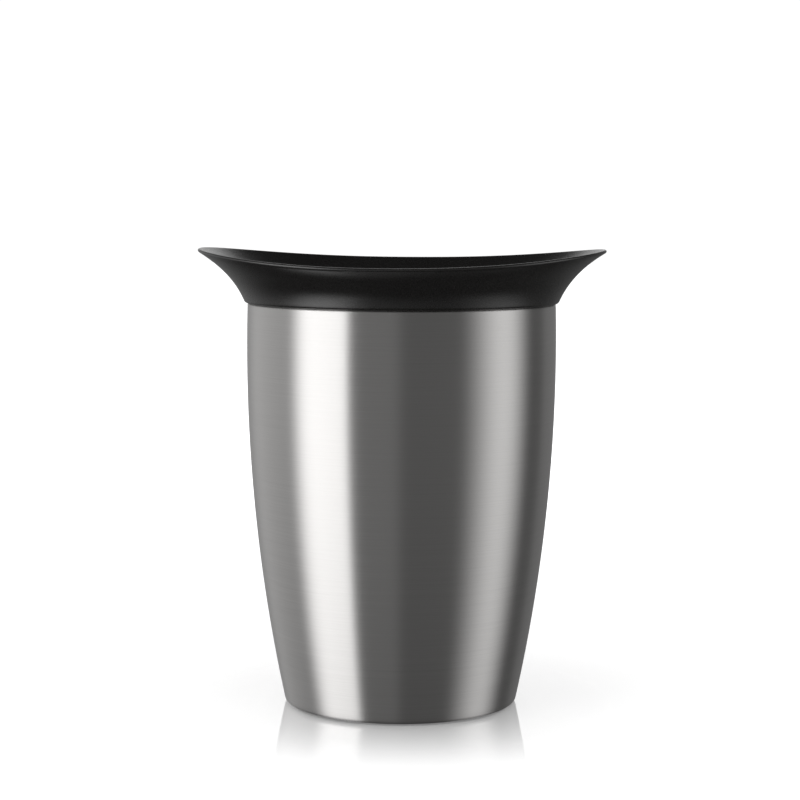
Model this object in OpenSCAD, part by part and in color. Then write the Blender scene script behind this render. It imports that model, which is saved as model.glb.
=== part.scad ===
// Table-top champagne cooler for one 750 ml bottle. A barrel-shaped shell of brushed steel carries a
// saddle-shaped plastic collar. A liner hangs inside it, and a loose gel sleeve slips round the bottle.
// Millimetres, +Z up. The origin is the centre of the base, on the surface that the cooler stands on.
// The wings of the collar point along +X and -X.

/* [Steel shell] */
// Greatest outer radius of the barrel
belly_r = 72.9; // [71.5:0.1:74.5]
// Height of the greatest radius
belly_z = 168; // [160:1:175]
// Radius of the barrel's curved side, seen from the front
belly_curve = 790; // [760:10:900]
// Height of the steel rim
rim_z = 190.2; // [188:0.1:192]
// Inner radius of the steel rim, which the collar plugs into
mouth_r = 69; // [68.9:0.05:69.2]
// Sheet thickness
sheet = 0.8; // [0.6:0.1:1]
// Outer radius of the bend at the rim
rim_bend = 1; // [0.9:0.1:2]
// Outer radius of the bend at the foot
foot_bend = 2.2; // [1.8:0.1:2.6]
// Height of the steel's lowest edge
foot_gap = 0.6; // [0.3:0.1:1]

/* [Collar] */
// Half the width across the wings
wing_r = 96; // [90:0.1:100]
// Half the depth from front to back
dip_r = 82.5; // [80:0.5:89]
// Height of the lip at the front and back
dip_z = 209.2; // [204:0.1:211]
// Height of the lip at the tips of the wings
wing_z = 215.6; // [212:0.1:220]
// How sharply the lip rises towards the tips
wing_power = 2.24; // [1.5:0.02:3]
// Radius of the rounded lip
lip_r = 0.8; // [0.6:0.1:1.5]
// Slope of the outside just under the lip, at the front and back
dip_slope = 84; // [50:1:88]
// Slope of the inside just under the lip, at the front and back
dip_inside_slope = 62; // [50:1:66]
// Slope of both sides under the lip, at the tips of the wings
wing_slope = 31; // [25:1:40]
// Slope of the outside where it leaves the shell, at the front and back
dip_root_slope = 82; // [60:1:86]
// Slope of the outside where it leaves the shell, under the wings
wing_root_slope = 66; // [60:1:75]
// Slope of the inside at the throat
throat_slope = 68; // [60:1:80]

/* [Liner] */
// Inner radius of the liner at its floor
liner_floor_r = 52.5; // [52.3:0.1:52.8]
// Inner radius of the liner at its rim
liner_rim_r = 61; // [60:0.1:61.2]
// Wall and floor thickness
liner_wall = 2; // [1.6:0.1:2.2]
// Top of the floor
liner_floor_z = 10; // [9.6:0.1:10.4]
// Top of the rim
liner_rim_z = 186; // [185.5:0.1:186.5]

/* [Cooling sleeve] */
// Number of gel cells
cell_count = 10; // [8:1:14]
// Inner radius of the sleeve, just over a bottle's 44.4
sleeve_r = 46; // [45.5:0.1:46.2]
// Height of the sleeve
sleeve_h = 155; // [120:1:165]
// Thickness of a gel cell
cell_t = 4.5; // [3.5:0.1:4.6]
// Angle that the elastic strip closes
gusset_angle = 24; // [16:1:36]

/* [Hidden] */
$fn = 180;

BODY_NODES = ["outer_shell", "flared_collar", "rim_gasket", "inner_liner", "liner_seal", "base_plate",
              "base_screws", "foot_ring", "bottle_pad"];
SLEEVE_NODES = ["sleeve_outer_skin", "sleeve_inner_skin", "top_binding", "bottom_binding",
                "elastic_gusset"];

steel = "silver";
black = [0.07, 0.07, 0.07];
dark = [0.12, 0.12, 0.13];
cloth = [0.3, 0.32, 0.35];
gel = [0.45, 0.6, 0.75];

// The shell's bends: each sits on the barrel's curve, so that its arc runs on from the side smoothly.
belly_cx = belly_r - belly_curve;
rim_angle = asin((rim_z - rim_bend - belly_z) / (belly_curve - rim_bend));
foot_angle = asin((foot_gap + foot_bend - belly_z) / (belly_curve - foot_bend));
rim_centre = [belly_cx + (belly_curve - rim_bend) * cos(rim_angle), rim_z - rim_bend];
foot_centre = [belly_cx + (belly_curve - foot_bend) * cos(foot_angle), foot_gap + foot_bend];
curve_facets = 1440;

// Foot: the steel turns up inside and ends in a flange, and the base plate is clamped under it.
foot_inner_r = foot_centre.x - foot_bend;
flange_r = 45;
flange_z = 4.5;
plate_r = foot_inner_r - 0.4;
plate_z = 1.4;
screw_circle_r = 28;
screw_angles = [for (k = [0:2]) 90 + 120 * k];
shank_r = 1.3;
head_r = 2.9;
head_h = 1.5;
boss_r = 3.6;
pilot_top_z = 9;
recess_r = 37;
recess_z = plate_z + 1;
foot_in_r = 41.2;
foot_out_r = 47;
foot_top_z = 3.2;
foot_edge_r = 1;

// Collar: its skirt plugs into the shell, and a ledge inside carries the liner's rim.
skirt_r = mouth_r - 0.3;
skirt_z = 181;
skirt_chamfer = 0.5;
ledge_z = liner_rim_z - 2;
ledge_r = 63.2;
throat_r = 66;
corner_r = 1.8;
corner_x = 72.6;
lip_start = -58;
edge_power = 0.6;
collar_steps = 96;
flare_steps = 10;
lip_steps = 5;

// Gasket and seal, each in a groove of the collar.
gasket_in_r = skirt_r + 0.5;
gasket_out_r = 71.6;
gasket_t = 0.8;
gasket_side_gap = 0.2;
seal_r = 0.5;
seal_x = 64.7;
seal_groove = seal_r + 0.15;

// Liner
liner_flange_r = throat_r - 0.4;
liner_chamfer = 1.2;
pad_ring_r = 41;
pad_ring_t = 1.5;
pad_r = pad_ring_r - 0.5;
pad_t = 2;
groove_w = 1.6;
groove_d = 0.6;
groove_radii = [12, 19, 26, 33];

// Sleeve: both skins run straight past the cells and draw together at the bindings.
sleeve_z = liner_floor_z + 0.4;
sleeve_top_z = sleeve_z + sleeve_h;
skin_t = 0.4;
skin_gap = 0.1;
binding_h = 9;
binding_t = 0.6;
taper_h = 9;
closed_angle = 360 - gusset_angle;
cell_pitch = closed_angle / cell_count;
seam_angle = 3;
cell_r = sleeve_r + skin_t + skin_gap;
outer_skin_r = cell_r + cell_t + skin_gap;
seam_r = sleeve_r + 2.2;
outer_edge_r = seam_r + skin_t + skin_gap;
seam_t = 2 * skin_t + skin_gap;
gusset_t = seam_t;

// ---- rules for curves ----

function along(p, angle, d) = p + d * [cos(angle), sin(angle)];

// A smooth curve from p to q with a given slope at each end. The pulls are shares of the distance.
function curve(p, p_slope, p_pull, q, q_slope, q_pull, steps) =
    let (
        span = norm(q - p),
        a = along(p, p_slope, p_pull * span),
        b = along(q, q_slope, -q_pull * span)
    )
    [for (i = [0:steps])
        let (t = i / steps, s = 1 - t)
        pow(s, 3) * p + 3 * t * s * s * a + 3 * t * t * s * b + pow(t, 3) * q];

function arc(centre, r, from, to, steps) =
    [for (i = [0:steps]) along(centre, from + (to - from) * i / steps, r)];

function backwards(list) = [for (i = [len(list) - 1:-1:0]) list[i]];

// ---- the collar's section at one angle round the axis ----

function lip_radius(turn) = wing_r * dip_r / norm([dip_r * cos(turn), wing_r * sin(turn)]);

function wing_share(turn) = pow(abs(lip_radius(turn) * cos(turn) / wing_r), wing_power);

function between(dip, wing, share) = dip + (wing - dip) * share;

// The flare: up the outside from the shell, over the lip and down the inside to the throat. At the front
// and back the outside stands nearly upright at both ends, and under the wings it is a plain horn.
function flare(turn) =
    let (
        share = wing_share(turn),
        edge_share = pow(share, edge_power),
        lip = [lip_radius(turn) - lip_r, between(dip_z, wing_z, share) - lip_r],
        root = [corner_x, rim_z + corner_r],
        root_slope = between(dip_root_slope, wing_root_slope, share),
        inside_slope = between(dip_inside_slope, wing_slope, share),
        outside = curve(along(root, root_slope - 90, corner_r), root_slope, between(0.5, 0.31, share),
                        along(lip, lip_start, lip_r), between(dip_slope, wing_slope, edge_share),
                        between(0.34, 0.4, edge_share), flare_steps),
        inside = curve([throat_r, liner_rim_z], throat_slope, 0.33,
                       along(lip, inside_slope + 90, lip_r), inside_slope,
                       between(0.25, 0.4, share), flare_steps),
        over = arc(lip, lip_r, lip_start, inside_slope + 90, lip_steps)
    )
    concat(
        arc(root, corner_r, -90, root_slope - 90, 3),
        [for (i = [1:flare_steps]) outside[i]],
        [for (i = [1:lip_steps]) over[i]],
        [for (i = [1:flare_steps]) backwards(inside)[i]]
    );

// The whole section: the skirt and the gasket's groove, the flare, the ledge and the seal's groove.
function collar_section(turn) = concat(
    [
        [ledge_r, skirt_z],
        [skirt_r - skirt_chamfer, skirt_z],
        [skirt_r, skirt_z + skirt_chamfer],
        [skirt_r, rim_z + gasket_t],
        [gasket_out_r + gasket_side_gap, rim_z + gasket_t],
        [gasket_out_r + gasket_side_gap, rim_z]
    ],
    flare(turn),
    [
        [throat_r, ledge_z],
        [seal_x + seal_groove, ledge_z],
        [seal_x + seal_groove, ledge_z - 2 * seal_r],
        [seal_x - seal_groove, ledge_z - 2 * seal_r],
        [seal_x - seal_groove, ledge_z],
        [ledge_r, ledge_z]
    ]
);

// A closed ring swept round the axis through a section that changes with the angle.
module swept_ring(sections) {
    rings = len(sections);
    size = len(sections[0]);
    points = [for (i = [0:rings - 1], p = sections[i])
        [p.x * cos(360 * i / rings), p.x * sin(360 * i / rings), p.y]];
    faces = [for (i = [0:rings - 1], k = [0:size - 1])
        let (
            here = i * size,
            next = ((i + 1) % rings) * size,
            up = (k + 1) % size
        )
        each [[here + k, here + up, next + up], [here + k, next + up, next + k]]];
    polyhedron(points, faces, convexity = 6);
}

// ---- flat helpers, turned into solids by rotate_extrude ----

// The side of a sector up to 180 degrees wide, large enough to cut any circle here.
module sector(centre, from, to, reach) {
    middle = (from + to) / 2;
    far = [for (angle = [from, middle, to]) along(centre, angle, reach)];
    polygon(concat([centre], far));
}

// Sheet metal bent round a centre.
module bend(centre, r, from, to, facets, reach) {
    intersection() {
        difference() {
            translate(centre) circle(r = r, $fn = facets);
            translate(centre) circle(r = r - sheet, $fn = facets);
        }
        sector(centre, from, to, reach);
    }
}

module box2d(x0, x1, z0, z1) {
    translate([x0, z0]) square([x1 - x0, z1 - z0]);
}

// ---- the cooler ----

module outer_shell() {
    color(steel) rotate_extrude() {
        bend([belly_cx, belly_z], belly_curve, foot_angle, rim_angle, curve_facets, 2 * belly_curve);
        bend(rim_centre, rim_bend, rim_angle, 90, 90, 20);
        box2d(mouth_r, rim_centre.x, rim_z - sheet, rim_z);
        bend(foot_centre, foot_bend, -180, foot_angle, 90, 20);
        box2d(foot_inner_r, foot_inner_r + sheet, foot_centre.y, flange_z + sheet);
        box2d(flange_r, foot_inner_r, flange_z, flange_z + sheet);
    }
}

module flared_collar() {
    color(black) swept_ring([for (i = [0:collar_steps - 1]) collar_section(360 * i / collar_steps)]);
}

module rim_gasket() {
    color(dark) rotate_extrude() box2d(gasket_in_r, gasket_out_r, rim_z, rim_z + gasket_t);
}

module inner_liner() {
    lean = (liner_rim_r - liner_floor_r) / (liner_rim_z - liner_floor_z);
    under_z = liner_floor_z - liner_wall;
    boss_root = 0.7;
    color(dark) difference() {
        union() {
            rotate_extrude() polygon([
                [0, under_z],
                [liner_floor_r + liner_wall - liner_chamfer, under_z],
                [liner_floor_r + liner_wall, under_z + liner_chamfer],
                [liner_rim_r + liner_wall - lean * (liner_rim_z - ledge_z), ledge_z],
                [liner_flange_r, ledge_z],
                [liner_flange_r, liner_rim_z],
                [liner_rim_r, liner_rim_z],
                [liner_floor_r + lean * liner_chamfer, liner_floor_z + liner_chamfer],
                [liner_floor_r - liner_chamfer, liner_floor_z],
                [pad_ring_r + pad_ring_t, liner_floor_z],
                [pad_ring_r + pad_ring_t, liner_floor_z + pad_ring_t],
                [pad_ring_r, liner_floor_z + pad_ring_t],
                [pad_ring_r, liner_floor_z],
                [0, liner_floor_z]
            ]);
            at_screws() translate([0, 0, flange_z])
                cylinder(r = boss_r, h = under_z + boss_root - flange_z);
        }
        at_screws() translate([0, 0, flange_z]) cylinder(r = shank_r + 0.05, h = pilot_top_z - flange_z);
    }
}

module liner_seal() {
    color(dark) rotate_extrude() translate([seal_x, ledge_z - seal_r]) circle(r = seal_r, $fn = 36);
}

module at_screws() {
    for (angle = screw_angles) rotate(angle) translate([screw_circle_r, 0, 0]) children();
}

// A disc with a shallow recess underneath, stiffened by a hub and ribs.
module base_plate() {
    rib_count = 6;
    rib_t = 1.6;
    rib_root = 0.5;
    hub_r = 9;
    plate_step = 0.6;
    color(black) difference() {
        union() {
            rotate_extrude() {
                box2d(0, plate_r, recess_z, flange_z);
                box2d(0, hub_r, plate_z, recess_z);
                box2d(recess_r, plate_r - plate_step, plate_z, recess_z);
            }
            for (k = [0:rib_count - 1]) rotate(360 / rib_count * k)
                translate([hub_r - rib_root, -rib_t / 2, plate_z])
                    cube([recess_r - hub_r + 2 * rib_root, rib_t, recess_z - plate_z + rib_root]);
        }
        at_screws() translate([0, 0, plate_z]) cylinder(r = shank_r + 0.3, h = flange_z - plate_z);
        rotate_extrude() box2d(foot_in_r - 0.1, foot_out_r + 0.1, plate_z, foot_top_z);
    }
}

// Pan-head screws with a cross slot.
module base_screws() {
    slot_w = 0.9;
    slot_d = 0.8;
    color(steel) at_screws() difference() {
        union() {
            translate([0, 0, recess_z - head_h]) cylinder(r = head_r, h = head_h);
            translate([0, 0, recess_z]) cylinder(r = shank_r, h = pilot_top_z - 0.6 - recess_z);
        }
        for (turn = [0, 90]) rotate(turn)
            translate([-head_r * 0.6, -slot_w / 2, recess_z - head_h])
                cube([head_r * 1.2, slot_w, slot_d]);
    }
}

module foot_ring() {
    color(dark) rotate_extrude() {
        box2d(foot_in_r, foot_out_r, foot_edge_r, foot_top_z);
        box2d(foot_in_r + foot_edge_r, foot_out_r - foot_edge_r, 0, foot_edge_r);
        for (x = [foot_in_r + foot_edge_r, foot_out_r - foot_edge_r])
            translate([x, foot_edge_r]) circle(r = foot_edge_r, $fn = 48);
    }
}

module bottle_pad() {
    top = liner_floor_z + pad_t;
    color(dark) difference() {
        translate([0, 0, liner_floor_z]) cylinder(r = pad_r, h = pad_t);
        rotate_extrude() for (r = groove_radii) box2d(r, r + groove_w, top - groove_d, top);
    }
}

// ---- the cooling sleeve ----

// Where a skin lies at a height above the binding: at edge_r there, and at r once the taper ends.
function drawn_in(r, edge_r, height) = edge_r + (r - edge_r) * min(height / taper_h, 1);

// A skin's section: straight over the cells at radius r, drawn in to seam radius at both bindings.
module skin_section(r, edge_r) {
    low = sleeve_z + binding_t + skin_gap;
    high = sleeve_top_z - binding_t - skin_gap;
    path = [
        [edge_r, low],
        [edge_r, sleeve_z + binding_h],
        [r, sleeve_z + binding_h + taper_h],
        [r, sleeve_top_z - binding_h - taper_h],
        [edge_r, sleeve_top_z - binding_h],
        [edge_r, high]
    ];
    polygon(concat(path, [for (p = backwards(path)) p + [skin_t, 0]]));
}

// Everything on the sleeve that stops at the elastic strip starts at this angle.
module round_sleeve() {
    rotate(90 + gusset_angle / 2) rotate_extrude(angle = closed_angle) children();
}

module sleeve_outer_skin() {
    color(cloth) round_sleeve() skin_section(outer_skin_r, outer_edge_r);
}

module sleeve_inner_skin() {
    color(cloth) round_sleeve() skin_section(sleeve_r, seam_r);
}

module elastic_gusset() {
    trim = 0.1;
    color(dark) rotate(90 - gusset_angle / 2 + trim) rotate_extrude(angle = gusset_angle - 2 * trim)
        box2d(seam_r, seam_r + gusset_t, sleeve_z + binding_t + skin_gap,
              sleeve_top_z - binding_t - skin_gap);
}

// A tape folded over the edge: a channel, open downwards, as long as binding_h.
module binding_section() {
    in = seam_r - skin_gap;
    out = seam_r + seam_t + skin_gap;
    box2d(in - binding_t, in, -binding_h, 0);
    box2d(out, out + binding_t, -binding_h, 0);
    box2d(in, out, -binding_t, 0);
}

module top_binding() {
    color(black) translate([0, 0, sleeve_top_z]) rotate_extrude() binding_section();
}

module bottom_binding() {
    color(black) translate([0, 0, sleeve_z]) mirror([0, 0, 1]) rotate_extrude() binding_section();
}

// A pouch that fills the space between the skins, apart from the drawn-in ends.
module gel_cell(k) {
    start = 90 + gusset_angle / 2 + (k - 1) * cell_pitch + seam_angle / 2;
    end_h = 2;
    inside = drawn_in(sleeve_r, seam_r, end_h) + skin_t + skin_gap;
    outside = drawn_in(outer_skin_r, outer_edge_r, end_h) - skin_gap;
    low = sleeve_z + binding_h;
    high = sleeve_top_z - binding_h;
    color(gel) rotate(start) rotate_extrude(angle = cell_pitch - seam_angle) polygon([
        [inside, low + end_h],
        [cell_r, low + taper_h],
        [cell_r, high - taper_h],
        [inside, high - end_h],
        [outside, high - end_h],
        [cell_r + cell_t, high - taper_h],
        [cell_r + cell_t, low + taper_h],
        [outside, low + end_h]
    ]);
}

outer_shell();
flared_collar();
rim_gasket();
inner_liner();
liner_seal();
base_plate();
base_screws();
foot_ring();
bottle_pad();
sleeve_outer_skin();
sleeve_inner_skin();
top_binding();
bottom_binding();
elastic_gusset();
for (k = [1:cell_count])
    gel_cell(k);
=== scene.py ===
"""Looks for a table-top champagne cooler: brushed steel shell, flared black collar, liner and gel sleeve.

Lengths are in millimetres up to the point where a mesh is made, and MM turns them into the frame's metres.
"""

import math

import bpy
import numpy as np
from mathutils import Matrix, Vector


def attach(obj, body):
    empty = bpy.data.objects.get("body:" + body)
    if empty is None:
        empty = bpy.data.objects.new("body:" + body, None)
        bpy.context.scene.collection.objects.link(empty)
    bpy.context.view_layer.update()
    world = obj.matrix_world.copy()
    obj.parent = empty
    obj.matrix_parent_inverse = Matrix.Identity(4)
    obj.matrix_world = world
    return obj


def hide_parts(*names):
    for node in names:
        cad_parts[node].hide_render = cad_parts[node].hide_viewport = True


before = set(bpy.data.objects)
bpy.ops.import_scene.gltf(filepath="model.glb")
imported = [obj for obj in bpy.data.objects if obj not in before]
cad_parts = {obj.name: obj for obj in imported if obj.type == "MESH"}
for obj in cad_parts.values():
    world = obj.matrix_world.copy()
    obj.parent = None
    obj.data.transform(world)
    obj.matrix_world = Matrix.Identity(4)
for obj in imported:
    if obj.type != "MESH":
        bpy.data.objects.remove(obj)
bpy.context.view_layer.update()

MM = 0.001
SEGMENTS = 256

# ---------------------------------------------------------------- camera

CAMERA_DISTANCE = 1035.7
CAMERA_HEIGHT = 244.6
CAMERA_TURN = math.radians(3.7)  # the object stands turned a little away from the camera
CAMERA_PITCH = math.radians(5.55)
CAMERA_ROLL = math.radians(0.2)
CAMERA_LENS = 98.8
CAMERA_SIDE_STEP = -0.65


def make_camera():
    camera = bpy.data.objects.new("camera", bpy.data.cameras.new("camera"))
    bpy.context.scene.collection.objects.link(camera)
    camera.data.sensor_width = 36
    camera.data.lens = CAMERA_LENS
    camera.data.clip_start = 0.01
    camera.data.clip_end = 50
    right = Vector((math.cos(CAMERA_TURN), math.sin(CAMERA_TURN), 0))
    back = Vector((math.sin(CAMERA_TURN), -math.cos(CAMERA_TURN), 0))
    place = back * CAMERA_DISTANCE + right * CAMERA_SIDE_STEP + Vector((0, 0, CAMERA_HEIGHT))
    turn = Matrix.Rotation(CAMERA_TURN, 4, "Z")
    tip = Matrix.Rotation(math.pi / 2 - CAMERA_PITCH, 4, "X")
    roll = Matrix.Rotation(CAMERA_ROLL, 4, "Z")
    camera.matrix_world = Matrix.Translation(place * MM) @ turn @ tip @ roll
    bpy.context.scene.camera = camera


# ---------------------------------------------------------------- node helpers


def add(tree, kind, inputs=None, **settings):
    """A new shader node. inputs maps a socket's name or number to a value or to another node's output."""
    node = tree.nodes.new("ShaderNode" + kind)
    for name, value in settings.items():
        setattr(node, name, value)
    for key, value in (inputs or {}).items():
        if isinstance(value, bpy.types.NodeSocket):
            tree.links.new(value, node.inputs[key])
        else:
            node.inputs[key].default_value = value
    return node


def math_node(tree, operation, a, b=0.0):
    return add(tree, "Math", {0: a, 1: b}, operation=operation).outputs[0]


def remap(tree, value, low, high, to_low=0.0, to_high=1.0, smooth=True):
    inputs = {"Value": value, "From Min": low, "From Max": high, "To Min": to_low, "To Max": to_high}
    kind = "SMOOTHSTEP" if smooth else "LINEAR"
    return add(tree, "MapRange", inputs, interpolation_type=kind).outputs[0]


def ramp(tree, value, stops, interpolation="EASE"):
    """A colour ramp. stops are (place from 0 to 1, colour)."""
    node = add(tree, "ValToRGB", {0: value})
    node.color_ramp.interpolation = interpolation
    elements = node.color_ramp.elements
    while len(elements) > 1:
        elements.remove(elements[0])
    elements[0].position = stops[0][0]
    elements[0].color = (*stops[0][1], 1)
    for place, colour in stops[1:]:
        elements.new(place).color = (*colour, 1)
    return node.outputs[0]


def mix(tree, factor, a, b):
    """Colours a and b mixed. Each is a colour or another node's output."""
    node = add(tree, "Mix", {"Factor": factor}, data_type="RGBA")
    for socket, value in ((node.inputs[6], a), (node.inputs[7], b)):
        if isinstance(value, bpy.types.NodeSocket):
            tree.links.new(value, socket)
        else:
            socket.default_value = value
    return node.outputs[2]


def grey(level):
    return (level, level, level)


def new_material(name):
    material = bpy.data.materials.new(name)
    material.use_nodes = True
    return material, material.node_tree, material.node_tree.nodes["Principled BSDF"]


def scaled_place(tree, x, y, z):
    """The point, with each axis stretched: a noise read there is drawn out along the small ones."""
    place = add(tree, "TexCoord").outputs["Object"]
    return add(tree, "VectorMath", {0: place, 1: (x, y, z)}, operation="MULTIPLY").outputs[0]


def noise(tree, place, scale, detail=2.0, roughness=0.5):
    inputs = {"Vector": place, "Scale": scale, "Detail": detail, "Roughness": roughness}
    return add(tree, "TexNoise", inputs).outputs["Fac"]


def bump(tree, height, strength, distance_mm, normal=None):
    inputs = {"Height": height, "Strength": strength, "Distance": distance_mm * MM}
    if normal is not None:
        inputs["Normal"] = normal
    return add(tree, "Bump", inputs).outputs[0]


# ---------------------------------------------------------------- studio

# The studio round the object: zone, edges in degrees from the camera towards +X, how far each plateau is
# from those edges, and the brightness at table height and near the floor.
STUDIO = [
    ("rear wall", -180, -150, 12, 0.34, 0.08),
    ("left wall", -150, -76, 18, 0.6, 0.05),
    ("key softbox", -76, -40.5, 1.5, 2.4, 1.4),
    ("dark room, left of the camera", -42, -4, 3, 0.3, 0.16),
    ("dark room, right of the camera", -4, 50, 8, 0.18, 0.1),
    ("fill softbox", 55, 110, 26, 1.22, 0.55),
    ("black flag", 110, 128, 4, 0.12, 0.06),
    ("right wall", 128, 180, 8, 0.2, 0.06),
]
STUDIO_SCALE = 4.0
OVERHEAD_LEVEL = 0.05
BELOW_LEVEL = 0.04
BACKDROP_LEVEL = 1.05
BACKDROP_EDGE = -0.98  # cosine of the angle from the camera where the white backdrop starts
BACKDROP_BLUR = 0.02


def studio_ring(tree, share, low):
    """The studio as a ramp round the object, at table height or near the floor."""
    stops = []
    for _, start, end, edge, level, low_level in STUDIO:
        brightness = grey((low_level if low else level) / STUDIO_SCALE)
        stops.append(((start + edge + 180) / 360, brightness))
        stops.append(((end - edge + 180) / 360, brightness))
    return ramp(tree, share, stops, "EASE")


def make_studio():
    """The world: white to the camera, and a studio of softboxes to everything else."""
    world = bpy.data.worlds.new("studio")
    bpy.context.scene.world = world
    world.use_nodes = True
    tree = world.node_tree
    tree.nodes.clear()
    direction = add(tree, "TexCoord").outputs["Generated"]
    x, y, z = add(tree, "SeparateXYZ", {0: direction}).outputs
    azimuth = math_node(tree, "ARCTAN2", x, math_node(tree, "MULTIPLY", y, -1.0))
    turned = math_node(tree, "SUBTRACT", azimuth, CAMERA_TURN)
    turns = math_node(tree, "MULTIPLY", turned, 0.5 / math.pi)
    share = math_node(tree, "FRACT", math_node(tree, "ADD", turns, 1.5))
    near_floor = remap(tree, z, -0.05, -0.65)
    level = mix(tree, near_floor, studio_ring(tree, share, False), studio_ring(tree, share, True))
    level = mix(tree, remap(tree, z, -0.58, -0.8), level, (*grey(BELOW_LEVEL / STUDIO_SCALE), 1))
    level = mix(tree, remap(tree, z, 0.25, 0.65), level, (*grey(OVERHEAD_LEVEL / STUDIO_SCALE), 1))
    from_camera = math_node(tree, "COSINE", turned)
    behind = remap(tree, from_camera, BACKDROP_EDGE + BACKDROP_BLUR, BACKDROP_EDGE)
    behind = math_node(tree, "MULTIPLY", behind, remap(tree, z, 0.0, BACKDROP_BLUR))
    level = mix(tree, behind, level, (*grey(BACKDROP_LEVEL / STUDIO_SCALE), 1))
    studio = add(tree, "Background", {"Color": level, "Strength": STUDIO_SCALE})
    white = add(tree, "Background", {"Color": (1, 1, 1, 1), "Strength": BACKDROP_LEVEL})
    seen = add(tree, "LightPath").outputs["Is Camera Ray"]
    both = add(tree, "MixShader", {0: seen, 1: studio.outputs[0], 2: white.outputs[0]})
    out = tree.nodes.new("ShaderNodeOutputWorld")
    tree.links.new(both.outputs[0], out.inputs["Surface"])


def area_light(name, place_mm, aim_mm, size_mm, power, glossy=True):
    light = bpy.data.lights.new(name, "AREA")
    light.shape = "RECTANGLE"
    light.size, light.size_y = (side * MM for side in size_mm)
    light.energy = power
    lamp = bpy.data.objects.new(name, light)
    bpy.context.scene.collection.objects.link(lamp)
    lamp.location = Vector(place_mm) * MM
    lamp.rotation_euler = (Vector(aim_mm) - Vector(place_mm)).to_track_quat("-Z", "Y").to_euler()
    lamp.visible_glossy = glossy
    lamp.visible_camera = False


FLOOR_HALF = 6.0
FLOOR_GLOW = 0.42
FLOOR_GLOW_FAR = 1.0
FLOOR_SHINE = 0.6
FLOOR_SHINE_NEAR = 38.0
FLOOR_SHINE_FAR = 148.0


def make_floor():
    """A glowing white floor with a mirror image that fades away from the object. It is clear from below."""
    mesh = bpy.data.meshes.new("floor")
    h = FLOOR_HALF
    mesh.from_pydata([(-h, -h, 0), (h, -h, 0), (h, h, 0), (-h, h, 0)], [], [(0, 1, 2, 3)])
    floor = bpy.data.objects.new("floor", mesh)
    bpy.context.scene.collection.objects.link(floor)
    floor.location.z = -0.05 * MM
    material, tree, surface = new_material("floor_white")
    surface.inputs["Base Color"].default_value = (0.9, 0.9, 0.9, 1)
    surface.inputs["Roughness"].default_value = 0.9
    surface.inputs["Specular IOR Level"].default_value = 0.0
    surface.inputs["Emission Color"].default_value = (1, 1, 1, 1)
    gloss = add(tree, "BsdfGlossy", {"Color": (0.92, 0.92, 0.92, 1), "Roughness": 0.03})
    place = add(tree, "TexCoord").outputs["Object"]
    away = add(tree, "VectorMath", {0: place}, operation="LENGTH").outputs["Value"]
    shine = remap(tree, away, FLOOR_SHINE_NEAR * MM, FLOOR_SHINE_FAR * MM, FLOOR_SHINE, 0.0)
    glow = remap(tree, away, 0.2, 0.8, FLOOR_GLOW, FLOOR_GLOW_FAR)
    tree.links.new(glow, surface.inputs["Emission Strength"])
    facing = add(tree, "LayerWeight", {"Blend": 0.5}).outputs["Facing"]
    shine = math_node(tree, "MULTIPLY", shine, remap(tree, facing, 0.5, 0.76))
    both = add(tree, "MixShader", {0: shine, 1: surface.outputs[0], 2: gloss.outputs[0]})
    underside = add(tree, "NewGeometry").outputs["Backfacing"]
    clear = add(tree, "BsdfTransparent")
    one_sided = add(tree, "MixShader", {0: underside, 1: both.outputs[0], 2: clear.outputs[0]})
    tree.links.new(one_sided.outputs[0], tree.nodes["Material Output"].inputs["Surface"])
    mesh.materials.append(material)
    floor.visible_glossy = False


# ---------------------------------------------------------------- mesh helpers


def make_object(name, vertices_mm, faces, material, sharp_degrees=35):
    mesh = bpy.data.meshes.new(name)
    mesh.from_pydata([tuple(v) for v in np.asarray(vertices_mm) * MM], [], faces)
    mesh.validate()
    mesh.polygons.foreach_set("use_smooth", [True] * len(mesh.polygons))
    mesh.set_sharp_from_angle(angle=math.radians(sharp_degrees))
    mesh.materials.append(material)
    piece = bpy.data.objects.new(name, mesh)
    bpy.context.scene.collection.objects.link(piece)
    return piece


def swept_ring(name, sections, material, sharp_degrees=35):
    """A closed ring round Z. sections holds one closed outline of (r, z) points for each step of the turn."""
    sections = np.asarray(sections, float)
    rings, size = sections.shape[:2]
    turn = np.arange(rings) * 2 * math.pi / rings
    r, z = sections[..., 0], sections[..., 1]
    points = np.stack([r * np.cos(turn)[:, None], r * np.sin(turn)[:, None], z], -1).reshape(-1, 3)
    faces = [
        (i * size + k, ((i + 1) % rings) * size + k,
         ((i + 1) % rings) * size + (k + 1) % size, i * size + (k + 1) % size)
        for i in range(rings)
        for k in range(size)
    ]
    return make_object(name, points, faces, material, sharp_degrees)


def lathe(name, outline, material, segments=SEGMENTS, sharp_degrees=35):
    return swept_ring(name, [outline] * segments, material, sharp_degrees)


def along(point, degrees, distance):
    angle = math.radians(degrees)
    return np.asarray(point, float) + distance * np.array([math.cos(angle), math.sin(angle)])


def arc(centre, radius, start, end, steps):
    return [along(centre, start + (end - start) * i / steps, radius) for i in range(steps + 1)]


def curve(p, p_slope, p_pull, q, q_slope, q_pull, steps):
    """A smooth curve from p to q with a given slope at each end. The pulls are shares of the distance."""
    p, q = np.asarray(p, float), np.asarray(q, float)
    span = np.linalg.norm(q - p)
    a = along(p, p_slope, p_pull * span)
    b = along(q, q_slope, -q_pull * span)
    t = np.linspace(0, 1, steps + 1)[:, None]
    return list((1 - t) ** 3 * p + 3 * t * (1 - t) ** 2 * a + 3 * t**2 * (1 - t) * b + t**3 * q)


# ---------------------------------------------------------------- steel shell

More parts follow.
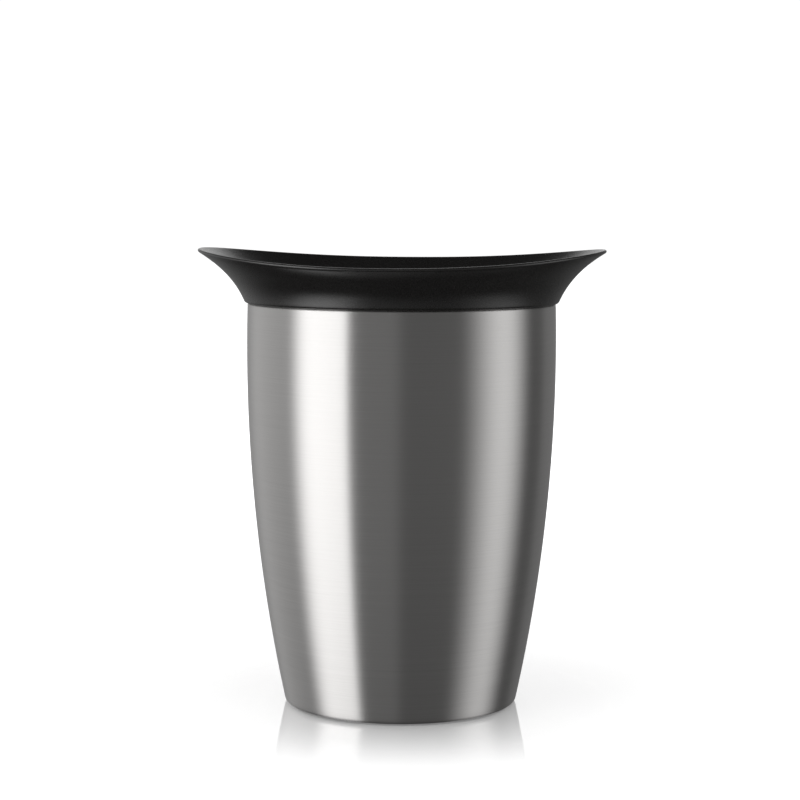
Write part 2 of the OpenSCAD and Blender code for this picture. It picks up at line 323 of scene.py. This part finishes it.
BELLY_R = 72.9
BELLY_Z = 168.0
BELLY_CURVE = 790.0
RIM_Z = 190.2
MOUTH_R = 69.0
SHEET = 0.8
RIM_BEND = 1.0
FOOT_BEND = 2.2
FOOT_GAP = 0.6
FLANGE_R = 45.0
FLANGE_Z = 4.5


def shell_outline():
    """The sheet's outside with its outward directions, then the same path one thickness inside."""
    centre = np.array([BELLY_R - BELLY_CURVE, BELLY_Z])
    rim_angle = math.degrees(math.asin((RIM_Z - RIM_BEND - BELLY_Z) / (BELLY_CURVE - RIM_BEND)))
    foot_angle = math.degrees(math.asin((FOOT_GAP + FOOT_BEND - BELLY_Z) / (BELLY_CURVE - FOOT_BEND)))
    path = [((MOUTH_R, RIM_Z), (0, 1))]
    stretches = [
        (along(centre, rim_angle, BELLY_CURVE - RIM_BEND), RIM_BEND, 90, rim_angle, 10),
        (centre, BELLY_CURVE, rim_angle, foot_angle, 64),
        (along(centre, foot_angle, BELLY_CURVE - FOOT_BEND), FOOT_BEND, foot_angle, -180, 14),
    ]
    for middle, radius, start, end, steps in stretches:
        for i in range(steps + 1):
            angle = start + (end - start) * i / steps
            point = (along(middle, angle, radius), along((0, 0), angle, 1))
            if np.linalg.norm(np.subtract(point[0], path[-1][0])) > 1e-6:
                path.append(point)
    inner_r = path[-1][0][0]
    path.append(((inner_r, FLANGE_Z), (-1, -1)))
    path.append(((FLANGE_R, FLANGE_Z), (0, -1)))
    outside = [np.asarray(p, float) for p, _ in path]
    inside = [np.asarray(p, float) - SHEET * np.asarray(n, float) for p, n in path]
    return outside + inside[::-1]


def steel_material():
    """Stainless steel brushed round the barrel: fine grooves along the turn, and stretched highlights."""
    material, tree, surface = new_material("brushed_steel")
    surface.inputs["Metallic"].default_value = 1.0
    surface.inputs["Anisotropic"].default_value = 1.0
    surface.inputs["Anisotropic Rotation"].default_value = 0.25
    tangent = add(tree, "Tangent", direction_type="RADIAL", axis="Z").outputs[0]
    tree.links.new(tangent, surface.inputs["Tangent"])
    fine = noise(tree, scaled_place(tree, 30, 30, 5000), 1.0, 3)
    broad = noise(tree, scaled_place(tree, 8, 8, 500), 1.0, 2)
    lines = math_node(tree, "MULTIPLY_ADD", fine, 0.7)
    tree.links.new(math_node(tree, "MULTIPLY", broad, 0.3), lines.node.inputs[2])
    colour = ramp(tree, lines, [(0.3, (0.64, 0.63, 0.62)), (0.7, (0.72, 0.71, 0.7))], "LINEAR")
    tree.links.new(colour, surface.inputs["Base Color"])
    tree.links.new(remap(tree, lines, 0.3, 0.7, 0.33, 0.38, False), surface.inputs["Roughness"])
    tree.links.new(bump(tree, lines, 0.25, 0.02), surface.inputs["Normal"])
    return material


# ---------------------------------------------------------------- collar

WING_R = 96.0
DIP_R = 82.5
DIP_Z = 209.2
WING_Z = 215.6
WING_POWER = 2.24
LIP_R = 0.8
LIP_START = -58.0
EDGE_POWER = 0.6
WING_SLOPE = 31.0
DIP_SLOPE = 84.0
INSIDE_DIP_SLOPE = 62.0
WING_ROOT_SLOPE = 66.0
DIP_ROOT_SLOPE = 82.0
THROAT_SLOPE = 68.0
CORNER_X = 72.6
CORNER_R = 1.8
THROAT_R = 66.0
LINER_RIM_Z = 186.0
LEDGE_Z = 184.0
LEDGE_R = 63.2
SKIRT_R = 68.7
SKIRT_Z = 181.0
UNDERSIDE_R = 71.8
UNDERSIDE_Z = 191.0
COLLAR_SEGMENTS = 480


def collar_outline(turn):
    """The collar's section at one angle round the axis, as in the CAD part but with more steps."""
    radius = WING_R * DIP_R / math.hypot(DIP_R * math.cos(turn), WING_R * math.sin(turn))
    share = abs(radius * math.cos(turn) / WING_R) ** WING_POWER
    edge_share = share**EDGE_POWER

    def between(dip, wing, part=share):
        return dip + (wing - dip) * part

    lip = np.array([radius - LIP_R, between(DIP_Z, WING_Z) - LIP_R])
    root = np.array([CORNER_X, RIM_Z + CORNER_R])
    root_slope = between(DIP_ROOT_SLOPE, WING_ROOT_SLOPE)
    inside_slope = between(INSIDE_DIP_SLOPE, WING_SLOPE)
    outside = curve(along(root, root_slope - 90, CORNER_R), root_slope, between(0.5, 0.31),
                    along(lip, LIP_START, LIP_R), between(DIP_SLOPE, WING_SLOPE, edge_share),
                    between(0.34, 0.4, edge_share), 32)
    inside = curve((THROAT_R, LINER_RIM_Z), THROAT_SLOPE, 0.33,
                   along(lip, inside_slope + 90, LIP_R), inside_slope, between(0.25, 0.4), 32)
    skirt = [(LEDGE_R, SKIRT_Z), (SKIRT_R - 0.5, SKIRT_Z), (SKIRT_R, SKIRT_Z + 0.5), (SKIRT_R, UNDERSIDE_Z),
             (UNDERSIDE_R, UNDERSIDE_Z), (UNDERSIDE_R, RIM_Z)]
    ledge = [(THROAT_R, LEDGE_Z), (LEDGE_R, LEDGE_Z)]
    corner = arc(root, CORNER_R, -90, root_slope - 90, 8)
    over = arc(lip, LIP_R, LIP_START, inside_slope + 90, 12)
    return skirt + corner + outside[1:] + over[1:] + inside[::-1][1:] + ledge


def matte_plastic(name, dark, light, roughness, grain_mm=0.35, depth=0.25, specular=0.5):
    """Moulded plastic with a fine spark-eroded texture."""
    material, tree, surface = new_material(name)
    surface.inputs["Specular IOR Level"].default_value = specular
    place = scaled_place(tree, 1, 1, 1)
    grain = noise(tree, place, 1 / (grain_mm * MM), 3, 0.6)
    patch = noise(tree, place, 40, 2)
    tree.links.new(ramp(tree, patch, [(0.3, dark), (0.7, light)], "LINEAR"), surface.inputs["Base Color"])
    rough = remap(tree, grain, 0.3, 0.7, roughness - 0.06, roughness + 0.06, False)
    tree.links.new(rough, surface.inputs["Roughness"])
    tree.links.new(bump(tree, grain, depth, 0.06), surface.inputs["Normal"])
    return material


# ---------------------------------------------------------------- cooling sleeve

# Sizes of the CAD sleeve
SLEEVE_Z = 10.4
SLEEVE_TOP = 165.4
SLEEVE_MIDDLE = (SLEEVE_Z + SLEEVE_TOP) / 2
CELLS = 10
GUSSET_ANGLE = 24.0
SLEEVE_START = 90 + GUSSET_ANGLE / 2
PITCH = (360 - GUSSET_ANGLE) / CELLS
SEAM_ANGLE = 3.0
BINDING_H = 9.0
TAPE = 0.6
CLOTH = 0.4
BINDING_IN_R = 47.5
BINDING_OUT_R = 49.8

# Where the skins and the gel lie: a radius at the welds, and one or a depth at the middle of a cell
OUTER_WELD_R = 48.95
OUTER_FULL_R = 51.3
OUTER_LIMITS = (48.4, 52.1)
INNER_WELD_R = 48.3
INNER_FULL_R = 46.1
INNER_LIMITS = (45.45, 49.0)
GEL_OUTER_EDGE_R = 48.7
GEL_OUTER_BULGE = 1.7
GEL_INNER_EDGE_R = 48.5
GEL_INNER_BULGE = 1.35
GEL_WIDTH = 0.93

# The cloth simulation, which runs at ten times the real size
CELL_COLUMNS = 20
SKIN_ROWS = 96
SIM_SCALE = 10.0
SIM_FRAMES = 24
PRESSURE = 4.0
OUTER_GROWTH = 0.04
INNER_GROWTH = 0.03
REACH = 1.2  # the farthest that a point may move
SINK = 0.15  # the farthest that it may move towards the gel


def round_axis(radius, degrees, height):
    """Points at these radii, angles and heights: numbers, or arrays that fit together."""
    radius, angle, height = np.broadcast_arrays(radius, np.radians(degrees), height)
    return np.stack([radius * np.cos(angle), radius * np.sin(angle), height], -1)


def pillow(across, along_z):
    """How far a quilted panel stands out, from 0 at its seams to 1: both places run from -1 to 1."""
    return np.sqrt(1 - np.abs(across) ** 3) * np.sqrt(1 - np.abs(along_z) ** 12)


def closed_sheet(name, front, back, material, sharp_degrees=50):
    """A thin solid between two grids of points, front facing out, with its edges closed."""
    rows, columns = front.shape[:2]
    count = rows * columns
    faces = []
    for i in range(rows - 1):
        for j in range(columns - 1):
            a, d = i * columns + j, (i + 1) * columns + j
            faces.append((a, a + 1, d + 1, d))
            faces.append((count + d, count + d + 1, count + a + 1, count + a))
    edge = list(range(columns))
    edge += [i * columns + columns - 1 for i in range(1, rows)]
    edge += [(rows - 1) * columns + j for j in range(columns - 2, -1, -1)]
    edge += [i * columns for i in range(rows - 2, 0, -1)]
    faces += [(b, a, count + a, count + b) for a, b in zip(edge, edge[1:] + edge[:1])]
    points = np.concatenate([front.reshape(-1, 3), back.reshape(-1, 3)])
    return make_object(name, points, faces, material, sharp_degrees)


def blown_cloth(points, held, growth):
    """The grid of points after a cloth simulation. held marks the sewn ones."""
    rows, columns = points.shape[:2]
    mesh = bpy.data.meshes.new("cloth")
    faces = [
        (i * columns + j, i * columns + j + 1, (i + 1) * columns + j + 1, (i + 1) * columns + j)
        for i in range(rows - 1)
        for j in range(columns - 1)
    ]
    mesh.from_pydata([tuple(v) for v in points.reshape(-1, 3) * MM * SIM_SCALE], [], faces)
    cloth = bpy.data.objects.new("cloth", mesh)
    bpy.context.scene.collection.objects.link(cloth)
    group = cloth.vertex_groups.new(name="sewn")
    group.add([int(i) for i in np.flatnonzero(held.reshape(-1))], 1.0, "REPLACE")
    simulation = cloth.modifiers.new("cloth", "CLOTH")
    settings = simulation.settings
    settings.quality = 6
    settings.mass = 0.15
    settings.air_damping = 4
    settings.tension_stiffness = 25
    settings.compression_stiffness = 25
    settings.shear_stiffness = 5
    settings.bending_stiffness = 0.05
    settings.vertex_group_mass = "sewn"
    settings.use_pressure = True
    settings.uniform_pressure_force = PRESSURE
    settings.shrink_min = -growth
    settings.effector_weights.gravity = 0
    simulation.point_cache.frame_start = 1
    simulation.point_cache.frame_end = SIM_FRAMES
    scene = bpy.context.scene
    for number in range(1, SIM_FRAMES + 1):
        scene.frame_set(number)
    blown = cloth.evaluated_get(bpy.context.evaluated_depsgraph_get()).data
    moved = np.empty(rows * columns * 3)
    blown.vertices.foreach_get("co", moved)
    bpy.data.objects.remove(cloth)
    scene.frame_set(1)
    step = moved.reshape(points.shape) / (MM * SIM_SCALE) - points
    length = np.maximum(np.linalg.norm(step, axis=-1, keepdims=True), 1e-9)
    return points + step * np.minimum(1, REACH / length)


def between_radii(points, low, high):
    """The points, with those nearer the axis than low or farther than high moved to it."""
    radius = np.maximum(np.hypot(points[..., 0], points[..., 1]), 1e-9)
    scale = np.clip(radius, low, high) / radius
    return points * np.stack([scale, scale, np.ones_like(scale)], -1)


def grid_normals(points):
    up = np.gradient(points, axis=0)
    right = np.gradient(points, axis=1)
    normal = np.cross(right, up)
    return normal / np.maximum(np.linalg.norm(normal, axis=-1, keepdims=True), 1e-9)


def quilted_skin(name, weld_r, full_r, limits, growth, material):
    """One skin of the sleeve: welded between the cells and at both ends, and puffed out in between."""
    outwards = full_r > weld_r
    cell = np.linspace(SEAM_ANGLE / 2, PITCH - SEAM_ANGLE / 2, CELL_COLUMNS - 1)
    cells = [k * PITCH + np.concatenate([[0], cell]) for k in range(CELLS)]
    steps = np.concatenate(cells + [[CELLS * PITCH]])
    one_cell = np.concatenate([[1], np.linspace(-1, 1, CELL_COLUMNS - 1)])
    in_cell = np.concatenate([np.tile(one_cell, CELLS), [1]])
    heights = np.linspace(SLEEVE_Z + TAPE + 0.1, SLEEVE_TOP - TAPE - 0.1, SKIN_ROWS)
    up = np.clip((heights - SLEEVE_MIDDLE) / (SLEEVE_TOP - SLEEVE_MIDDLE - BINDING_H), -1, 1)
    radius = weld_r + (full_r - weld_r) * pillow(in_cell[None, :], up[:, None])
    points = round_axis(radius, SLEEVE_START + steps[None, :], heights[:, None])
    held = (np.abs(in_cell)[None, :] >= 1) | (np.abs(up)[:, None] >= 1)
    if not outwards:
        points, held = points[:, ::-1], held[:, ::-1]
    blown = between_radii(blown_cloth(points, held, growth), *limits)
    rested = np.hypot(points[..., 0], points[..., 1])
    if outwards:
        blown = between_radii(blown, rested - SINK, math.inf)
    else:
        blown = between_radii(blown, 0, rested + SINK)
    piece = closed_sheet(name, blown, blown - CLOTH * grid_normals(blown), material)
    return piece


def gel_pouch(name, k, material):
    """A pouch of gel between the skins: full in the middle and thin at its welded edges."""
    start = SLEEVE_START + k * PITCH + SEAM_ANGLE / 2
    across = np.linspace(-1, 1, 25)
    up = np.linspace(-1, 1, 72)
    bulge = pillow(across[None, :], up[:, None])
    lumps = 1 + 0.05 * np.sin(5 * up[:, None] + 1.7 * k) * np.cos(3 * across[None, :] + k)
    degrees = start + (GEL_WIDTH * across[None, :] + 1) / 2 * (PITCH - SEAM_ANGLE)
    height = (SLEEVE_MIDDLE + up * (SLEEVE_TOP - SLEEVE_MIDDLE - BINDING_H - 2))[:, None]
    outer = round_axis(GEL_OUTER_EDGE_R + GEL_OUTER_BULGE * bulge * lumps, degrees, height)
    inner = round_axis(GEL_INNER_EDGE_R - GEL_INNER_BULGE * bulge * lumps, degrees, height)
    piece = closed_sheet(name, outer, inner, material)
    return piece


STITCH_PITCH = 2.8
STITCH_LENGTH = 2.1
STITCH_THICKNESS = 0.22
STITCH_SIDES = 8
STITCH_STEPS = 6
RIB_PITCH = 2.0


def binding_outline(edge, downwards, slack):
    """A tape folded over the sleeve's edge. slack moves its two legs apart."""
    middle = (BINDING_IN_R + BINDING_OUT_R) / 2
    half = (BINDING_OUT_R - BINDING_IN_R) / 2
    outside = [(middle + half + slack, -BINDING_H), (middle + half + 0.5 * slack, -half)]
    outside += [tuple(p) for p in arc((middle, -half), half, 0, 180, 12)[1:-1]]
    outside += [(middle - half - 0.5 * slack, -half), (middle - half - slack, -BINDING_H)]
    inner = half - TAPE
    inside = [(middle - inner - slack, -BINDING_H), (middle - inner, -half)]
    inside += [tuple(p) for p in arc((middle, -half), inner, 180, 0, 8)[1:-1]]
    inside += [(middle + inner, -half), (middle + inner + slack, -BINDING_H)]
    return [(r, edge + downwards * z) for r, z in outside + inside]


def binding(name, edge, downwards, material):
    turns = np.arange(SEGMENTS * 2) * math.pi / SEGMENTS
    stitches = round(2 * math.pi * BINDING_OUT_R / STITCH_PITCH)
    slacks = 0.035 * np.cos(stitches * turns) + 0.03 * np.sin(9 * turns + edge)
    outlines = [binding_outline(edge, downwards, slack) for slack in slacks]
    if downwards < 0:
        outlines = [outline[::-1] for outline in outlines]
    return swept_ring(name, outlines, material)


def stitch_beads(name, spots, material):
    """Raised stitches. Each spot is (place, direction of the stitch, direction out of the cloth)."""
    sides, steps = STITCH_SIDES, STITCH_STEPS
    points, faces = [], []
    for place, line, out in spots:
        across = np.cross(line, out)
        first = len(points)
        for i in range(steps + 1):
            along_it = -math.cos(math.pi * i / steps)
            wide = STITCH_THICKNESS * math.sqrt(max(1 - along_it**2, 0.02))
            for k in range(sides):
                angle = 2 * math.pi * k / sides
                flat = across * math.cos(angle) * wide + out * math.sin(angle) * wide * 0.7
                points.append(place + line * along_it * STITCH_LENGTH / 2 + flat)
        for i in range(steps):
            for k in range(sides):
                a, b = first + i * sides + k, first + i * sides + (k + 1) % sides
                faces.append((a, b, b + sides, a + sides))
        faces.append(tuple(range(first + sides - 1, first - 1, -1)))
        faces.append(tuple(range(first + steps * sides, first + (steps + 1) * sides)))
    return make_object(name, points, faces, material)


def ring_of_stitches(radius, height, outwards):
    count = round(2 * math.pi * radius / STITCH_PITCH)
    spots = []
    for i in range(count):
        angle = 2 * math.pi * (i + 0.5) / count
        out = np.array([math.cos(angle), math.sin(angle), 0])
        line = np.array([-math.sin(angle), math.cos(angle), 0])
        spots.append((out * radius + np.array([0, 0, height]), line, out * outwards))
    return spots


def column_of_stitches(radius, degrees, low, high):
    angle = math.radians(degrees)
    out = np.array([math.cos(angle), math.sin(angle), 0])
    count = round((high - low) / STITCH_PITCH)
    up = np.array([0, 0, 1.0])
    return [(out * radius + up * (low + (i + 0.5) * (high - low) / count), up, out) for i in range(count)]


def elastic(name, material):
    """Woven elastic let into the sleeve, ribbed, and flat where it is sewn down both sides."""
    across = np.linspace(-1, 1, 41)
    heights = np.linspace(SLEEVE_Z + TAPE + 0.1, SLEEVE_TOP - TAPE - 0.1, 460)
    free = np.clip((0.88 - np.abs(across)) / 0.08, 0, 1)[None, :]
    rib = 0.5 + 0.5 * np.sin(2 * math.pi * heights / RIB_PITCH)[:, None]
    crimp = 0.5 + 0.5 * np.sin(across * 34)[None, :]
    degrees = 90 + across[None, :] * (GUSSET_ANGLE / 2 - 0.1)
    relief = free * (0.22 * rib + 0.08 * crimp)
    front = round_axis(49.0 - relief, degrees, heights[:, None])
    back = round_axis(48.3 + relief, degrees, heights[:, None])
    return closed_sheet(name, front, back, material)


# ---------------------------------------------------------------- more materials


def woven(name, dark, light, thread_mm, radius_mm, roughness, sheen, depth):
    """Plain-woven cloth: threads over and under each other round the axis and up it, with soft creases, and
    painted shade between the threads.
    """
    material, tree, surface = new_material(name)
    surface.inputs["Sheen Weight"].default_value = sheen
    surface.inputs["Sheen Roughness"].default_value = 0.4
    surface.inputs["Roughness"].default_value = roughness
    place = add(tree, "TexCoord").outputs["Object"]
    x, y, z = add(tree, "SeparateXYZ", {0: place}).outputs
    turn = math_node(tree, "ARCTAN2", y, x)
    threads_in_half_turn = round(math.pi * radius_mm / thread_mm)
    wave_round = math_node(tree, "SINE", math_node(tree, "MULTIPLY", turn, threads_in_half_turn))
    wave_up = math_node(tree, "SINE", math_node(tree, "MULTIPLY", z, math.pi / (thread_mm * MM)))
    warp = math_node(tree, "ABSOLUTE", wave_round)
    weft = math_node(tree, "ABSOLUTE", wave_up)
    over = math_node(tree, "MULTIPLY", wave_round, wave_up)
    threads = mix(tree, remap(tree, over, -0.15, 0.15), warp, weft)
    threads = add(tree, "RGBToBW", {0: threads}).outputs[0]
    worn = noise(tree, scaled_place(tree, 1, 1, 1), 90, 3)
    # The cloth's colour is painted shade: darker in the gaps between threads and lighter on their crowns,
    # times a random worn tone.
    painted_shade_and_wear = math_node(tree, "MULTIPLY", threads, remap(tree, worn, 0.2, 0.8, 0.7, 1.0, False))
    tree.links.new(mix(tree, painted_shade_and_wear, (*dark, 1), (*light, 1)), surface.inputs["Base Color"])
    creases = noise(tree, scaled_place(tree, 1, 1, 0.4), 260, 3)
    soft = bump(tree, creases, 0.5, 0.3)
    tree.links.new(bump(tree, threads, depth, 0.08, soft), surface.inputs["Normal"])
    return material


def gel_film():
    """Clear film over blue gel, with small bubbles."""
    material, tree, surface = new_material("gel_film")
    surface.inputs["Roughness"].default_value = 0.22
    surface.inputs["Subsurface Weight"].default_value = 0.3
    place = scaled_place(tree, 1, 1, 1)
    cloudy = noise(tree, place, 60, 3)
    colour = ramp(tree, cloudy, [(0.3, (0.16, 0.34, 0.55)), (0.7, (0.3, 0.5, 0.68))], "LINEAR")
    tree.links.new(colour, surface.inputs["Base Color"])
    tree.links.new(bump(tree, noise(tree, place, 350, 2), 0.4, 0.3), surface.inputs["Normal"])
    return material


def screw_steel():
    """Turned screw steel with fine marks in all directions."""
    material, tree, surface = new_material("screw_steel")
    surface.inputs["Metallic"].default_value = 1.0
    marks = noise(tree, scaled_place(tree, 1, 1, 1), 2500, 3)
    colour = ramp(tree, marks, [(0.3, (0.5, 0.5, 0.49)), (0.7, (0.6, 0.6, 0.59))], "LINEAR")
    tree.links.new(colour, surface.inputs["Base Color"])
    tree.links.new(remap(tree, marks, 0.3, 0.7, 0.28, 0.42, False), surface.inputs["Roughness"])
    tree.links.new(bump(tree, marks, 0.3, 0.02), surface.inputs["Normal"])
    return material


# ---------------------------------------------------------------- build


def finish_piece(piece, body, slot, *nodes):
    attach(piece, body)
    if nodes:
        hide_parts(*nodes)


def dress(node, material):
    """Gives a CAD piece a material of its own."""
    for material_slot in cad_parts[node].material_slots:
        material_slot.material = material


make_camera()
make_studio()
make_floor()
area_light("overhead", (0, -300, 1900), (0, 0, 0), (2400, 2400), 34, glossy=False)

steel = steel_material()
black = matte_plastic("collar_black", (0.0035, 0.0032, 0.003), (0.005, 0.0046, 0.0043), 0.3, 0.4, 0.7, 0.85)
shell = lathe("steel_shell", shell_outline(), steel)
finish_piece(shell, "cooler", "steel_brushed", "outer_shell")
turns = np.arange(COLLAR_SEGMENTS) * 2 * math.pi / COLLAR_SEGMENTS
collar = swept_ring("collar", [collar_outline(turn) for turn in turns], black)
finish_piece(collar, "cooler", "plastic_black", "flared_collar")

liner_black = matte_plastic("liner_grey", (0.013, 0.013, 0.014), (0.018, 0.018, 0.019), 0.42, 0.5, 0.5)
base_black = matte_plastic("base_black", (0.009, 0.009, 0.009), (0.013, 0.013, 0.013), 0.5, 0.6, 0.6)
rubber = matte_plastic("rubber", (0.02, 0.02, 0.02), (0.03, 0.029, 0.028), 0.72, 0.25, 0.5, 0.35)
dress("inner_liner", liner_black)
dress("base_plate", base_black)
dress("base_screws", screw_steel())
for node in ("foot_ring", "bottle_pad", "rim_gasket", "liner_seal"):
    dress(node, rubber)

nylon = woven("sleeve_nylon", (0.012, 0.013, 0.016), (0.05, 0.054, 0.062), 0.4, 51.0, 0.55, 0.25, 0.6)
tape = woven("binding_tape", (0.004, 0.004, 0.004), (0.014, 0.014, 0.014), 0.55, 49.8, 0.7, 0.2, 0.7)
webbing = woven("elastic", (0.006, 0.006, 0.006), (0.022, 0.022, 0.022), 0.6, 49.0, 0.75, 0.3, 0.7)
thread = matte_plastic("thread", (0.05, 0.052, 0.056), (0.08, 0.083, 0.09), 0.6, 0.15, 0.5, 0.4)
gel = gel_film()

body = "cooling_sleeve"
finish_piece(binding("top_tape", SLEEVE_TOP, 1, tape), body, "tape_black", "top_binding")
finish_piece(binding("bottom_tape", SLEEVE_Z, -1, tape), body, "tape_black", "bottom_binding")
finish_piece(elastic("elastic_strip", webbing), body, "elastic_black", "elastic_gusset")
outer_skin = quilted_skin("outer_skin", OUTER_WELD_R, OUTER_FULL_R, OUTER_LIMITS, OUTER_GROWTH, nylon)
finish_piece(outer_skin, body, "sleeve_cloth", "sleeve_outer_skin")
inner_skin = quilted_skin("inner_skin", INNER_WELD_R, INNER_FULL_R, INNER_LIMITS, INNER_GROWTH, nylon)
finish_piece(inner_skin, body, "sleeve_cloth", "sleeve_inner_skin")
for k in range(CELLS):
    finish_piece(gel_pouch(f"gel_pouch_{k + 1}", k, gel), body, "gel", f"gel_cell_{k + 1}")

spots = []
for height in (SLEEVE_TOP - BINDING_H + 2, SLEEVE_Z + BINDING_H - 2):
    spots += ring_of_stitches(BINDING_OUT_R + 0.05, height, 1)
    spots += ring_of_stitches(BINDING_IN_R - 0.05, height, -1)
for degrees in (90 - GUSSET_ANGLE / 2 + 0.8, 90 + GUSSET_ANGLE / 2 - 0.8):
    spots += column_of_stitches(49.1, degrees, SLEEVE_Z + BINDING_H, SLEEVE_TOP - BINDING_H)
finish_piece(stitch_beads("stitches", spots, thread), body, "tape_black")

bpy.context.scene.view_settings.view_transform = "Standard"
